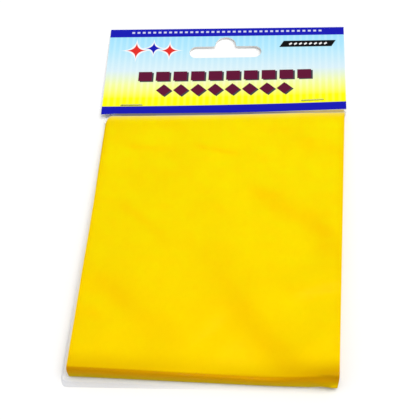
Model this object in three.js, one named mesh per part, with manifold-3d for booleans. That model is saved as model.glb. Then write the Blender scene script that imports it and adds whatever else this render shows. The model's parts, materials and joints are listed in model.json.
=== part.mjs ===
// A hang pack of gold transfer foil: ten thin sheets folded in half together, in a clear film bag
// whose mouth is stapled into a folded header card with a hang slot.
// Millimetres. The pack lies on its back: +Z up, +Y towards the card's fold, -Y towards the foil's fold.

import * as THREE from 'three';
import { mergeVertices } from 'three/addons/utils/BufferGeometryUtils.js';
import Module from 'manifold-3d';

const wasm = await Module();
wasm.setup();

// Foil sheets
const SHEET_COUNT = 10;
const SHEET_WIDTH = 101.6;
const SHEET_THICKNESS = 0.1;
const FOLDED_LENGTH = 120.8; // from the fold to the free edges
const FOLD_PITCH = 0.3; // sheet to sheet at the springy fold
const EDGE_PITCH = 0.215; // sheet to sheet at the free edges, where the card presses them

// Clear film bag
const FILM_THICKNESS = 0.1;
const FILM_SPACING = 0.1; // between the two films where the bag is flat
const BAG_SLACK = 1.5; // bag wider than the sheets, each side
const SEAM_WIDTH = 0.6; // welded strip down each side
const TAIL_LENGTH = 1.9; // flat film beyond the foil's fold
const MOUTH_BELOW_SLOT = 7.1; // film inside the card stops short of the hang slot
const MOUTH_RISE = 2.95; // height of the mouth above the table
const SHOULDER_LENGTH = 0.5; // film's run from the mouth's height to the stack's height
const SHEET_CLEARANCE = 0.1; // film to sheet, above and below
const EDGE_CLEARANCE = 0.3; // film to sheet, at the sides and the free edges
const END_PLAY = 0.5; // how far the sheets can slip towards the bag's end

// Header card
const CARD_HEIGHT = 48.5;
const CARD_THICKNESS = 0.4;
const CARD_OVERHANG = 0.2; // card wider than the bag, each side
const CARD_CLEARANCE = 0.1; // card to film

// Hang slot through both panels: a long slot with a hump in its upper edge
const SLOT_WIDTH = 32;
const SLOT_HEIGHT = 12; // with the hump
const SLOT_LOBE_HEIGHT = 6.6;
const SLOT_HUMP_WIDTH = 9.2;
const SLOT_BELOW_FOLD = 5.4;

// Wire staples
const WIRE_DIAMETER = 0.5;
const WIRE_BEND = 0.5; // radius of the wire's bends
const WIRE_CLEARANCE = 0.15; // wire to card and film
const STAPLE_CROWN = 9.8;
const STAPLE_CLINCH = 3.2; // length of each leg turned over behind the card
const STAPLE_TURN = 3.4; // degrees out of line with the card
const STAPLES = [
  { name: 'staple_left', side: -1, fromSide: 12.9, aboveEdge: 4.4 },
  { name: 'staple_right', side: 1, fromSide: 14.2, aboveEdge: 5.2 },
];

// Film hinge under the card, and the bag's stance
const HINGE_GAP = 0.4; // between the film in the card and the film of the pouch
const FOLD_CLEARANCE = 0.45; // card to pouch when the pouch is folded square to the card
const POUCH_OFFSET = 0.7; // pouch to the right of the card's middle
const POUCH_LEAN = 2; // degrees that the pouch hangs out of line with the card

// Facets and cutters
const ARC_STEPS = 6; // half the steps of each round stretch
const WIRE_SIDES = 4; // half the sides of the wire
const WIRE_STEPS = 56;
const CUT_MARGIN = 1; // how far a cutter runs past what it cuts

// Worked-out sizes
const foldRadius = SHEET_COUNT * FOLD_PITCH;
const bagWidth = SHEET_WIDTH + 2 * BAG_SLACK;
const cardWidth = bagWidth + 2 * CARD_OVERHANG;
const mouthHalf = FILM_SPACING / 2 + FILM_THICKNESS;
const cardInnerHalf = mouthHalf + CARD_CLEARANCE;
const cardHalf = cardInnerHalf + CARD_THICKNESS;
const cardEdge = HINGE_GAP / 2;
const slotTop = cardEdge + CARD_HEIGHT - SLOT_BELOW_FOLD;
const slotBottom = slotTop - SLOT_HEIGHT;
const mouthTop = slotBottom - MOUTH_BELOW_SLOT;
const neckEnd = -(cardHalf + FOLD_CLEARANCE);
const shoulderEnd = neckEnd - SHOULDER_LENGTH;
const sheetEdge = shoulderEnd - FILM_THICKNESS - EDGE_CLEARANCE;
const foldCentre = sheetEdge - FOLDED_LENGTH + foldRadius;
const stackBase = FILM_THICKNESS + SHEET_CLEARANCE;
const foldAxisHeight = stackBase + foldRadius;
const bagArcCentre = foldCentre - END_PLAY;
const bagArcRadius = foldRadius + SHEET_CLEARANCE + FILM_THICKNESS;
const bagFront = bagArcCentre - bagArcRadius;
const bagEnd = bagFront - TAIL_LENGTH;
const bagHeightAtEdge = stackBase + 2 * SHEET_COUNT * EDGE_PITCH + SHEET_CLEARANCE + FILM_THICKNESS;
const leanSlope = Math.tan(THREE.MathUtils.degToRad(POUCH_LEAN));

// A closed geometry as a solid for joining and cutting
function toSolid(geometry) {
  const bare = geometry.clone();
  bare.deleteAttribute('normal');
  bare.deleteAttribute('uv');
  const merged = mergeVertices(bare);
  const vertProperties = new Float32Array(merged.getAttribute('position').array);
  const triVerts = new Uint32Array(merged.getIndex().array);
  return new wasm.Manifold(new wasm.Mesh({ numProp: 3, vertProperties, triVerts }));
}

function toGeometry(solid) {
  const mesh = solid.getMesh();
  const geometry = new THREE.BufferGeometry();
  geometry.setAttribute('position', new THREE.BufferAttribute(mesh.vertProperties, 3));
  geometry.setIndex(new THREE.BufferAttribute(mesh.triVerts, 1));
  geometry.computeVertexNormals();
  return geometry;
}

// A (y, z) outline carried along X, centred on x = 0
function prismAlongX(outline, width) {
  const settings = { depth: width, bevelEnabled: false, curveSegments: ARC_STEPS };
  const geometry = new THREE.ExtrudeGeometry(outline, settings);
  geometry.translate(0, 0, -width / 2);
  const turn = new THREE.Matrix4();
  turn.makeBasis(new THREE.Vector3(0, 1, 0), new THREE.Vector3(0, 0, 1), new THREE.Vector3(1, 0, 0));
  return geometry.applyMatrix4(turn);
}

// An (x, z) outline carried along Y from y = start down to y = end
function prismAlongY(outline, start, end) {
  const settings = { depth: start - end, bevelEnabled: false, curveSegments: ARC_STEPS };
  const geometry = new THREE.ExtrudeGeometry(outline, settings);
  const turn = new THREE.Matrix4();
  turn.makeBasis(new THREE.Vector3(1, 0, 0), new THREE.Vector3(0, 0, 1), new THREE.Vector3(0, -1, 0));
  geometry.applyMatrix4(turn);
  return geometry.translate(0, start, 0);
}

function boxBetween(low, high) {
  const geometry = new THREE.BoxGeometry(high[0] - low[0], high[1] - low[1], high[2] - low[2]);
  return geometry.translate((low[0] + high[0]) / 2, (low[1] + high[1]) / 2, (low[2] + high[2]) / 2);
}

function outlineOf(points) {
  return new THREE.Shape(points.map(([across, up]) => new THREE.Vector2(across, up)));
}

// The pouch hangs out of line with the card: its sides lean, the foil's fold stays square to them,
// and the film's mouth and end stay along the card.
function lean(geometry) {
  const position = geometry.getAttribute('position');
  for (let i = 0; i < position.count; i += 1) {
    const x = position.getX(i);
    const y = position.getY(i);
    const alongStack = y / bagFront;
    const alongTail = (y - bagEnd) / TAIL_LENGTH;
    const share = y > bagFront ? alongStack : alongTail;
    position.setX(i, x + POUCH_OFFSET + y * leanSlope);
    position.setY(i, y - x * leanSlope * share);
  }
  geometry.computeVertexNormals();
  return geometry;
}

// Header card: two panels and the fold between them, with the hang slot and the staples' holes
function cardBlank() {
  const foldCentreY = cardEdge + CARD_HEIGHT - cardHalf;
  const outline = new THREE.Shape();
  outline.moveTo(cardEdge, cardHalf);
  outline.lineTo(foldCentreY, cardHalf);
  outline.absarc(foldCentreY, 0, cardHalf, Math.PI / 2, -Math.PI / 2, true);
  outline.lineTo(cardEdge, -cardHalf);
  outline.lineTo(cardEdge, -cardInnerHalf);
  outline.lineTo(foldCentreY, -cardInnerHalf);
  outline.absarc(foldCentreY, 0, cardInnerHalf, -Math.PI / 2, Math.PI / 2, false);
  outline.lineTo(cardEdge, cardInnerHalf);
  outline.closePath();
  return prismAlongX(outline, cardWidth);
}

function slotCutter() {
  const lobeRadius = SLOT_LOBE_HEIGHT / 2;
  const humpRadius = SLOT_HUMP_WIDTH / 2;
  const lobeX = SLOT_WIDTH / 2 - lobeRadius;
  const lobeY = slotBottom + lobeRadius;
  const lobeTop = slotBottom + SLOT_LOBE_HEIGHT;
  const outline = new THREE.Shape();
  outline.moveTo(-lobeX, slotBottom);
  outline.lineTo(lobeX, slotBottom);
  outline.absarc(lobeX, lobeY, lobeRadius, -Math.PI / 2, Math.PI / 2, false);
  outline.lineTo(humpRadius, lobeTop);
  outline.absarc(0, slotTop - humpRadius, humpRadius, 0, Math.PI, false);
  outline.lineTo(-humpRadius, lobeTop);
  outline.lineTo(-lobeX, lobeTop);
  outline.absarc(-lobeX, lobeY, lobeRadius, Math.PI / 2, 1.5 * Math.PI, false);
  const depth = 2 * (cardHalf + CUT_MARGIN);
  const settings = { depth, bevelEnabled: false, curveSegments: ARC_STEPS };
  return new THREE.ExtrudeGeometry(outline, settings).translate(0, 0, -depth / 2);
}

function staplePlace({ side, fromSide, aboveEdge }) {
  const place = new THREE.Matrix4().makeRotationZ(THREE.MathUtils.degToRad(STAPLE_TURN));
  return place.setPosition(side * (cardWidth / 2 - fromSide), cardEdge + aboveEdge, 0);
}

const stapleLegX = (STAPLE_CROWN - WIRE_DIAMETER) / 2;
const stapleFaceZ = cardHalf + WIRE_CLEARANCE + WIRE_DIAMETER / 2;

// Holes that the staples' four legs make through card and film
function legHoles() {
  const radius = WIRE_DIAMETER / 2 + WIRE_CLEARANCE;
  const depth = 2 * (cardHalf + CUT_MARGIN);
  const holes = STAPLES.flatMap((staple) => [-stapleLegX, stapleLegX].map((legX) => {
    const hole = new THREE.CylinderGeometry(radius, radius, depth, 2 * ARC_STEPS);
    hole.rotateX(Math.PI / 2).translate(legX, 0, 0);
    return toSolid(hole.applyMatrix4(staplePlace(staple)));
  }));
  return holes.reduce((all, hole) => all.add(hole));
}

function headerCard() {
  return toGeometry(toSolid(cardBlank()).subtract(toSolid(slotCutter())).subtract(legHoles()));
}

// The bag's mouth: two films joined at their side seams, flat between the card's panels
function bagMouth() {
  const half = bagWidth / 2;
  const inner = half - SEAM_WIDTH;
  const film = toSolid(boxBetween([-half, cardEdge, -mouthHalf], [half, mouthTop, mouthHalf]));
  const gap = toSolid(boxBetween(
    [-inner, cardEdge - CUT_MARGIN, -FILM_SPACING / 2],
    [inner, mouthTop + CUT_MARGIN, FILM_SPACING / 2],
  ));
  return toGeometry(film.subtract(gap).subtract(legHoles()));
}

// A path of straight runs between corners, each corner rounded
function roundedPath(corners, radius) {
  const path = new THREE.CurvePath();
  let from = corners[0];
  for (let i = 1; i < corners.length - 1; i += 1) {
    const before = corners[i - 1].clone().sub(corners[i]).setLength(radius).add(corners[i]);
    const after = corners[i + 1].clone().sub(corners[i]).setLength(radius).add(corners[i]);
    path.add(new THREE.LineCurve3(from, before));
    path.add(new THREE.QuadraticBezierCurve3(before, corners[i], after));
    from = after;
  }
  path.add(new THREE.LineCurve3(from, corners[corners.length - 1]));
  return path;
}

// A staple: crown on the front panel, legs through the card, ends turned in behind it
function staple(place) {
  const clinchX = stapleLegX - STAPLE_CLINCH;
  const corners = [
    new THREE.Vector3(-clinchX, 0, -stapleFaceZ),
    new THREE.Vector3(-stapleLegX, 0, -stapleFaceZ),
    new THREE.Vector3(-stapleLegX, 0, stapleFaceZ),
    new THREE.Vector3(stapleLegX, 0, stapleFaceZ),
    new THREE.Vector3(stapleLegX, 0, -stapleFaceZ),
    new THREE.Vector3(clinchX, 0, -stapleFaceZ),
  ];
  const section = new THREE.Shape().absarc(0, 0, WIRE_DIAMETER / 2, 0, 2 * Math.PI, false);
  const wire = new THREE.ExtrudeGeometry(section, {
    steps: WIRE_STEPS,
    curveSegments: WIRE_SIDES,
    extrudePath: roundedPath(corners, WIRE_BEND),
  });
  return wire.applyMatrix4(place);
}

// The pouch's side outline, drawn in by inset: neck under the card, shoulders, film over the stack,
// round the foil's fold and down to the table
function pouchOutline(inset) {
  const neck = mouthHalf - inset;
  const mouth = inset > 0 ? CUT_MARGIN : -cardEdge;
  const outline = new THREE.Shape();
  outline.moveTo(mouth, MOUTH_RISE + neck);
  outline.lineTo(neckEnd - inset, MOUTH_RISE + neck);
  outline.lineTo(shoulderEnd - inset, bagHeightAtEdge - inset);
  outline.absarc(bagArcCentre, foldAxisHeight, bagArcRadius - inset, Math.PI / 2, Math.PI, false);
  outline.lineTo(bagFront + inset, inset);
  outline.lineTo(shoulderEnd - inset, inset);
  outline.lineTo(neckEnd - inset, MOUTH_RISE - neck);
  outline.lineTo(mouth, MOUTH_RISE - neck);
  outline.closePath();
  return outline;
}

// The pouch's end outline, drawn in by inset: film from the seams at the table up to the stack's sides
function pouchSection(inset) {
  const foot = bagWidth / 2 - SEAM_WIDTH - inset;
  const shoulder = SHEET_WIDTH / 2 + EDGE_CLEARANCE + FILM_THICKNESS - inset;
  const top = foldAxisHeight + bagArcRadius;
  return outlineOf([[-foot, 0], [foot, 0], [shoulder, top], [-shoulder, top]]);
}

function pouchSolid(inset) {
  const side = toSolid(prismAlongX(pouchOutline(inset), bagWidth));
  return side.intersect(toSolid(prismAlongY(pouchSection(inset), 2 * CUT_MARGIN, bagEnd)));
}

function bagPouch() {
  const half = bagWidth / 2;
  const skirt = toSolid(boxBetween([-half, bagEnd, 0], [half, shoulderEnd, 2 * FILM_THICKNESS]));
  const outer = pouchSolid(0).add(skirt);
  return lean(toGeometry(outer.subtract(pouchSolid(FILM_THICKNESS))));
}

// A sheet folded in half: the legs close up towards the free edges, the folds nest on one axis
function foilSheet(index) {
  const outer = foldRadius - index * FOLD_PITCH;
  const inner = outer - SHEET_THICKNESS;
  const lowEdge = stackBase + index * EDGE_PITCH;
  const highEdge = stackBase + (2 * SHEET_COUNT - index) * EDGE_PITCH;
  const outline = new THREE.Shape();
  outline.moveTo(sheetEdge, highEdge);
  outline.absarc(foldCentre, foldAxisHeight, outer, Math.PI / 2, 1.5 * Math.PI, false);
  outline.lineTo(sheetEdge, lowEdge);
  outline.lineTo(sheetEdge, lowEdge + SHEET_THICKNESS);
  outline.absarc(foldCentre, foldAxisHeight, inner, 1.5 * Math.PI, Math.PI / 2, true);
  outline.lineTo(sheetEdge, highEdge - SHEET_THICKNESS);
  outline.closePath();
  return lean(prismAlongX(outline, SHEET_WIDTH));
}

// Finishes
const printedCard = () => new THREE.MeshStandardMaterial({ color: 0xf2ee5a, roughness: 0.45, metalness: 0 });
const steelWire = () => new THREE.MeshStandardMaterial({ color: 0x9a9a9c, roughness: 0.3, metalness: 1 });
const clearFilm = () => new THREE.MeshStandardMaterial({
  color: 0xeef2f5, roughness: 0.08, metalness: 0, transparent: true, opacity: 0.25,
});
const goldFoil = () => new THREE.MeshStandardMaterial({ color: 0xfbdc00, roughness: 0.4, metalness: 0.3 });

function piece(name, geometry, material) {
  const mesh = new THREE.Mesh(geometry, material);
  mesh.name = name;
  return mesh;
}

// The header slopes from the pouch's mouth down to its fold, which lies on the table
const header = new THREE.Group();
header.position.z = MOUTH_RISE;
header.rotation.x = -Math.asin((MOUTH_RISE - cardHalf) / (cardEdge + CARD_HEIGHT - cardHalf));
header.add(piece('header_card', headerCard(), printedCard()));
header.add(piece('bag_mouth', bagMouth(), clearFilm()));
for (const { name, ...seat } of STAPLES) {
  header.add(piece(name, staple(staplePlace(seat)), steelWire()));
}

const pouch = new THREE.Group();
pouch.add(piece('bag_pouch', bagPouch(), clearFilm()));
for (let index = 0; index < SHEET_COUNT; index += 1) {
  const number = String(index + 1).padStart(2, '0');
  pouch.add(piece(`foil_sheet_${number}`, foilSheet(index), goldFoil()));
}

// Origin under the middle of the pack, on the table
const pack = new THREE.Group();
pack.add(header, pouch);
const bounds = new THREE.Box3().setFromObject(pack, true);
const middle = bounds.getCenter(new THREE.Vector3());
pack.position.set(-middle.x, -middle.y, -bounds.min.z);

export default pack;
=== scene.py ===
"""Blender scene of a foil hang pack: ten gold foil sheets folded in half together in a clear film bag,
which a folded printed card with a hang slot closes, held by two staples. It lies on a white table."""
import json
from math import pi, radians, tan

import bpy
import numpy as np
from mathutils import Euler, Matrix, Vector


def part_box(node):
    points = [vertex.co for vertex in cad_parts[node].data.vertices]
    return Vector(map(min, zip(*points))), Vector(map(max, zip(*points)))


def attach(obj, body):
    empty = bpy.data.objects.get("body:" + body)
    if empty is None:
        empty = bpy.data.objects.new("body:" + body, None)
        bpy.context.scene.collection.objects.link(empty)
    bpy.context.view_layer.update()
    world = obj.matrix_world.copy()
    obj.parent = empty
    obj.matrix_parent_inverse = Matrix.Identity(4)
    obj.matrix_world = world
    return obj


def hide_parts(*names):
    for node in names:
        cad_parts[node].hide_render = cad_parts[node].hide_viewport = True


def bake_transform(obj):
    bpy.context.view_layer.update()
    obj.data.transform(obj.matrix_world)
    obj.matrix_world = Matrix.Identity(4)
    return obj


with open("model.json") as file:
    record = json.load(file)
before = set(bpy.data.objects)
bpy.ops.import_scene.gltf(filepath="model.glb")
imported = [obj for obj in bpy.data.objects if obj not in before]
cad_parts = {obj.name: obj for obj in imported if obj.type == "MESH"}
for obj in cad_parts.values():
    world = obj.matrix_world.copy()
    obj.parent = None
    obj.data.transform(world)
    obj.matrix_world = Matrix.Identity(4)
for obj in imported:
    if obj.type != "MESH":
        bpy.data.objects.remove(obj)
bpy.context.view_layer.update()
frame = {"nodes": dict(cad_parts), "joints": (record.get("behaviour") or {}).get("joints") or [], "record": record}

# All shapes below are in millimetres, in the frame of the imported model, and become metres in the mesh.
MM = 0.001


def node_box(node):
    """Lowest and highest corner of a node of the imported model, in millimetres."""
    low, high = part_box(node)
    return np.array(low) / MM, np.array(high) / MM


# Places taken from the frame
JOINTS = {joint["name"]: joint for joint in frame["joints"]}
MOUNTS = {mount["name"]: mount for mount in frame["record"]["mounts"]}
HINGE = np.array(JOINTS["pouch_fold"]["pos_m"]) / MM
CARD_LOW, CARD_HIGH = node_box("header_card")
CARD_WIDTH = CARD_HIGH[0] - CARD_LOW[0]
CARD_CENTRE = (CARD_HIGH[0] + CARD_LOW[0]) / 2
CARD_NORMAL = np.array(MOUNTS["hang_slot"]["axis"])
SHEET_NODES = sorted(node for node in frame["nodes"] if node.startswith("foil_sheet"))

# Folded card, measured up from the hinge line, and how far it departs from a flat one
CARD_HEIGHT = 48.5
CARD_EDGE = 0.2
CARD_TOP = CARD_EDGE + CARD_HEIGHT
CARD_THICKNESS = 0.36
CARD_FOLD_RADIUS = 0.28
CARD_GAPE = 0.17
CARD_BACK_SHORT = 0.6
CARD_BACK_SHORT_LENGTH = 10.0
CARD_LIFT = -0.15
CARD_TWIST = 1.1
CARD_BOW = 0.7
CARD_TAPER = 0.4

# Hang slot, cut through both panels of the card, its size from the middle of its lower side
SLOT_BASE = 31.3
SLOT_WIDTH = 32.0
SLOT_LOBE_HEIGHT = 6.6
SLOT_HEIGHT = 12.0
SLOT_HUMP_WIDTH = 9.2
SLOT_CORNER = 0.8

# Frame of grid lines round the slot, and how far from the middle or a corner of it the slot's joints are met
SLOT_FRAME_WIDTH = 40.0
SLOT_FRAME_LOW = 27.3
SLOT_FRAME_HIGH = 46.3
SLOT_HUMP_MEETS = 7.0
SLOT_CORNER_MEETS = 9.0
SLOT_LOBE_MEETS = 4.0

# Grid steps of the card: across it, up a panel, round its fold, and from the frame in to the slot
CARD_STEPS_ACROSS = (26, 40, 26)
CARD_STEPS_UP = (22, 19, 2)
CARD_FOLD_STEPS = 10
SLOT_RINGS = 6
SLOT_RING_SPREAD = 0.8

# Card's print, measured across from the card's middle and down from its fold
TOP_BAND = 4.7
LOWER_BAND = 4.3
RIB_PITCH = 2.775
RIB_START = -0.3
RIB_STRENGTH = 0.9
PRINT_EDGE = 0.12
PRINT_OVER_FOLD = 0.9
PRINT_END = 0.3
MARK_SHADOW_ACROSS = 0.75
MARK_SHADOW_DOWN = 0.55
SQUARE_COUNT = 10
SQUARE_PITCH = 7.74
SQUARE_WIDTH = 6.0
SQUARE_HEIGHT = 5.2
SQUARE_LEVEL = 27.6
DIAMOND_COUNT = 8
DIAMOND_PITCH = 7.5
DIAMOND_REACH = 3.3
DIAMOND_LEVEL = 35.5
LABEL_MIDDLE = 41.6
LABEL_LEVEL = 9.85
LABEL_LENGTH = 23.0
LABEL_HEIGHT = 3.7
LABEL_SLANT = 0.53
LABEL_DOT_COUNT = 8
LABEL_DOT_PITCH = 2.2
LABEL_DOT_REACH = 0.75
LABEL_DOT_MIDDLE = 41.8
BAND_DOT_COUNT = 36
BAND_DOT_PITCH = 2.4
BAND_DOT_WIDTH = 1.24
BAND_DOT_HEIGHT = 1.0
BAND_DOT_LEVEL = 2.1

# Stars of the print, each (middle, level, reach), the size of their white outline and their soft edge
STARS = ((-40.0, 12.6, 5.2), (-32.2, 11.4, 4.2), (-25.0, 12.8, 4.6))
STAR_OUTLINE = 1.45
STAR_EDGE = 0.06

# Screen colours of the card's ground between its ribs and on them, each (share of the way down, colour)
GROUND_BETWEEN_RIBS = (
    (0.0, (150, 220, 250)), (0.25, (178, 230, 250)), (0.5, (216, 238, 246)),
    (0.66, (242, 249, 160)), (0.82, (253, 254, 8)), (1.0, (252, 252, 0)),
)
GROUND_ON_RIBS = (
    (0.0, (170, 228, 252)), (0.25, (192, 236, 252)), (0.5, (222, 242, 248)),
    (0.66, (248, 252, 190)), (0.82, (255, 255, 70)), (1.0, (255, 255, 40)),
)

# Staples, each with its middle across, its height over the card's lower edge and its turn
WIRE_DIAMETER = 0.5
WIRE_TIP_RADIUS = 0.002
STAPLE_CROWN = 9.8
STAPLE_CLINCH = 3.2
STAPLE_BEND = 0.5
STAPLE_CLEARANCE = 0.02
STAPLES = {
    "staple_left": (-39.6, 4.85, radians(0.6)),
    "staple_right": (38.3, 5.6, radians(2.0)),
}

# Stack of foil, before it leans in the bag: x across, y along from the hinge, z up from the table
SHEET_WIDTH = 101.0
SHEET_THICKNESS = 0.08
SHEET_EDGE = -1.03
SHEET_EDGE_SLOPE = 0.015
SHEET_EDGE_BOW = 0.0002
SHEET_EDGE_LIMIT = -0.3
SHEET_TUCK = -2.3
SHEET_CORNER = 2.0
STACK_BASE = 0.2
STACK_EDGE_PITCH = 0.14
STACK_SHEAR = 1.3
STACK_SHEAR_LENGTH = 110.0
STACK_FOLD_PITCH = 0.3
FOLD_FRONT = -122.3
FOLD_DEPTH = 3.2
FOLD_CREASE = FOLD_FRONT + FOLD_DEPTH
FOLD_HEIGHT = 6.2
PACK_LEAN = tan(radians(2.2))
PACK_SHIFT = 1.3

# Grids of the outermost sheet, which shows, and of those inside it
OUTER_SHEET_GRID = {"columns": 150, "upper_rows": 170, "fold_rows": 42, "lower_rows": 60}
INNER_SHEET_GRID = {"columns": 70, "upper_rows": 70, "fold_rows": 24, "lower_rows": 40}

# Fold's own shape: it sinks from the left corner to the dip, then swells and softens to the right corner
FOLD_DIP = 18.0
FOLD_SWELL = 22.0
FOLD_SWELL_LENGTH = 29.0
FOLD_REACH_BACK = 30.0
FOLD_LEFT_RISE = 0.4
FOLD_DIP_SINK = 1.2
FOLD_RIGHT_RISE = 2.4
FOLD_SQUARENESS = 5.5
FOLD_SQUARENESS_LOSS = 2.7
FOLD_SLANT = 0.3
FOLD_LEFT_SLANT = 0.5
FOLD_RIGHT_SLANT = 2.0
FOLD_END_ROUND = 7.0
FOLD_END_FADE = 8.0
FOLD_END_POWER = 1.5
FOLD_LEFT_INSET = 0.4
FOLD_RIGHT_INSET = 1.0

# Ridges across the fold's right corner and the lip at the bottom of it, with heights as shares of the fold
CRUMPLE_START = 36.0
CRUMPLE_LENGTH = 10.0
CRUMPLE_DEPTH = 0.3
CRUMPLE_FOOT = 0.25
CRUMPLE_TURN_UP = 7.0
CRUMPLE_TURN_ALONG = 0.45
LIP_START = 46.5
LIP_LENGTH = 2.5
LIP_DEPTH = 0.1
LIP_HEIGHT = 0.45

# Amber painted shade of the fold: distances from its middle, the fold's slopes over which its end rises,
# shares of painted shade behind its crisp end, and the lip's painted highlight
AMBER_END = 3.2
AMBER_EDGE = 1.2
AMBER_LEFT_RISE = 0.25
AMBER_RISE_START = 0.35
AMBER_RISE_LENGTH = 0.4
AMBER_FADE = 9.0
AMBER_BEHIND = 0.42
AMBER_BEHIND_LOSS = 0.17
AMBER_BEHIND_GAIN = 0.6
AMBER_LOSS_START = -40.0
AMBER_LOSS_LENGTH = 40.0
LIP_HIGHLIGHT_PLACE = 1.0
LIP_HIGHLIGHT_WIDTH = 0.9

# Tones of the foil: shares of its clouds and streaks, their range from bright to deep, which the wrinkles'
# painted shade also spans, how far painted shade deepens it towards the fold, and how far it deepens at the
# sides, over shares of the sheet's length and width
FOIL_CLOUDS = 0.10
FOIL_STREAKS = 0.10
FOIL_STREAK_STRETCH = 0.12
FOIL_BRIGHT = 0.08
FOIL_DEEP = 0.295
FOIL_FOLD_SHARE = 0.02
FOIL_FOLD_SHADE = 0.65
FOIL_FOLD_SHADE_REACH = 0.4
FOIL_SIDE_SHARE = 0.025
FOIL_SIDE_TONE = 0.5

# Wrinkles of the stack's upper side: the direction towards the light in which their slope is taken for the
# foil's painted shade, two sets of waves, how far they ease in from the free edge and the fold, and how far a
# crease dies out, by its own length and width
WRINKLE_LIGHT = np.array([0.64, 0.77])
LONG_WAVES = {"count": 14, "longest": 70.0, "shortest": 14.0, "height": 0.05, "seed": 5}
SHORT_WAVES = {"count": 12, "longest": 14.0, "shortest": 4.5, "height": 0.014, "seed": 8}
WRINKLE_EDGE_FADE = 12.0
WRINKLE_FOLD_FADE = 6.0
CREASE_END = 0.3
CREASE_REACH = 4

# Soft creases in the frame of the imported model, each (places along it, half width, height)
CREASES = (
    (((-46.0, 22.9), (-32.6, 20.7), (-8.0, 18.0)), 1.4, 0.09),
    (((-12.0, 21.8), (-1.7, 19.1), (12.0, 16.0)), 1.1, 0.13),
    (((8.0, 3.5), (26.5, -8.5), (39.6, -16.4), (53.0, -38.0)), 4.0, 0.42),
    (((-43.0, -5.0), (-29.8, -14.6), (-15.0, -26.5)), 1.7, 0.10),
    (((-12.0, -18.0), (2.0, -40.0), (16.0, -62.0)), 6.0, 0.24),
    (((4.0, -46.0), (18.9, -65.5), (38.0, -88.0)), 5.6, 0.70),
    (((-60.0, -43.0), (-38.6, -45.6), (-28.5, -57.4), (-6.0, -72.0)), 4.4, 0.40),
    (((-60.0, -55.0), (-45.8, -57.4), (-38.0, -60.5)), 2.0, 0.18),
    (((26.0, -53.0), (39.0, -48.5), (68.0, -41.0)), 2.8, 0.36),
    (((30.0, 23.0), (42.8, 19.1), (58.0, 14.0)), 3.2, 0.16),
)

# Clear film bag, from the same middle and hinge as the stack: sides, seams and room round the stack
FILM_LEFT = 53.5
FILM_RIGHT = 51.4
FILM_LEFT_SEAM = 1.0
FILM_RIGHT_SEAM = 0.3
FILM_SIDE_ROOM = 0.15
FILM_OVER_STACK = 0.14
FILM_FOLD_ROOM = 0.7
FILM_UNDER_STACK = 0.08
FILM_SEAM_HEIGHT = 0.3
FILM_SEAM_GAP = 0.02
FILM_SEAM_RISE = 2.0
FILM_SEAM_RISE_LENGTH = 14.0

# Bag's mouth inside the card, the neck below it, the brim over the sheets' free edge, and the flat tail
FILM_MOUTH_TOP = 24.2
FILM_MOUTH_HALF_WIDTH = 51.8
FILM_MOUTH_GAP = 0.1
FILM_MOUTH_EASE = 3.0
FILM_NECK_END = -0.1
FILM_BRIM = 1.2
FILM_FOLD_STOP = -0.3 * pi
FILM_TAIL_END = -124.6
FILM_TAIL_LEAN = 0.17
FILM_TAIL_HEIGHT = 0.14
FILM_TAIL_SPREAD = 1.4
FILM_TAIL_DROP = 5
FILM_CORNER = 2.5

# Grid of the bag: steps across seams, margins and stack, rows of its mouth and neck, and steps along the pack
FILM_STEPS_ACROSS = (3, 6, 104, 6, 2)
FILM_MOUTH_ROWS = 14
FILM_NECK_ROWS = 8
FILM_BRIM_STEPS = 8
FILM_LEG_STEPS = 105
FILM_FOLD_STEPS = 33
FILM_TAIL_STEPS = 11

# Puckers of the film near its mouth and ripples along its seams: height, reach and wave of each
PUCKER_HEIGHT = 0.05
PUCKER_REACH = 9.0
PUCKER_WAVE = {"rate": 0.9, "bend": 1.4, "bend_rate": 0.23}
RIPPLE_HEIGHT = 0.14
RIPPLE_REACH = 9.0
RIPPLE_WAVE = {"rate": 0.55, "bend": 1.2, "bend_rate": 0.17}

# Milk of the film, the share by which it hides what lies behind it: painted shadow of the card in the neck,
# a painted highlight over the foil's edge, and faint milk with painted shadow along the tail and left seam;
# and the stretches over which it changes
NECK_SHADOW_MILK = 0.9
CORNER_CLEAR = 0.7
CORNER_CLEAR_END = -47.0
CORNER_CLEAR_FADE = 2.5
GAP_OVERLAP = 0.1
GAP_FADE = 0.3
BRIM_HIGHLIGHT_MILK = 0.4
BRIM_HIGHLIGHT_FADE = 0.6
TAIL_MILK_AND_SHADOW = 0.1
TAIL_SHADOW_RISE = 1 / 3
TAIL_SHADOW_START = -40.0
TAIL_SHADOW_LENGTH = 55.0
SEAM_MILK_AND_SHADOW = 0.06
SEAM_SHADOW_PLACES = (0, 1 / 3, 1)
SEAM_SHADOW_SHARES = (0, 1, 0.5)
SEAM_SHADOW_START = -72.0
SEAM_SHADOW_LENGTH = 48.0

# Shade of the film, its place in the ramp of its tones, which holds the card's painted shadow in the neck
# and painted shadow down the pack, and the stretches over which it changes
NECK_SHADE = 0.7
NECK_SHADE_DEPTH = 2.2
NECK_SHADE_FADE = 0.8
RIGHT_SHADE_GAIN = 0.3
RIGHT_SHADE_START = 10.0
RIGHT_SHADE_LENGTH = 40.0
LEFT_SHADE_SHARE = 0.45
LEFT_SHADE_END = -50.0
LEFT_SHADE_FADE = 4.0
PACK_SHADE = 0.4
PACK_SHADE_START = -20.0

# Gloss of the film, the share that it has face on and at a glancing angle, and how late it grows between
FILM_GLOSS_FACE_ON = 0.0015
FILM_GLOSS_GLANCING = 0.04
FILM_GLOSS_POWER = 7.0

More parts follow.
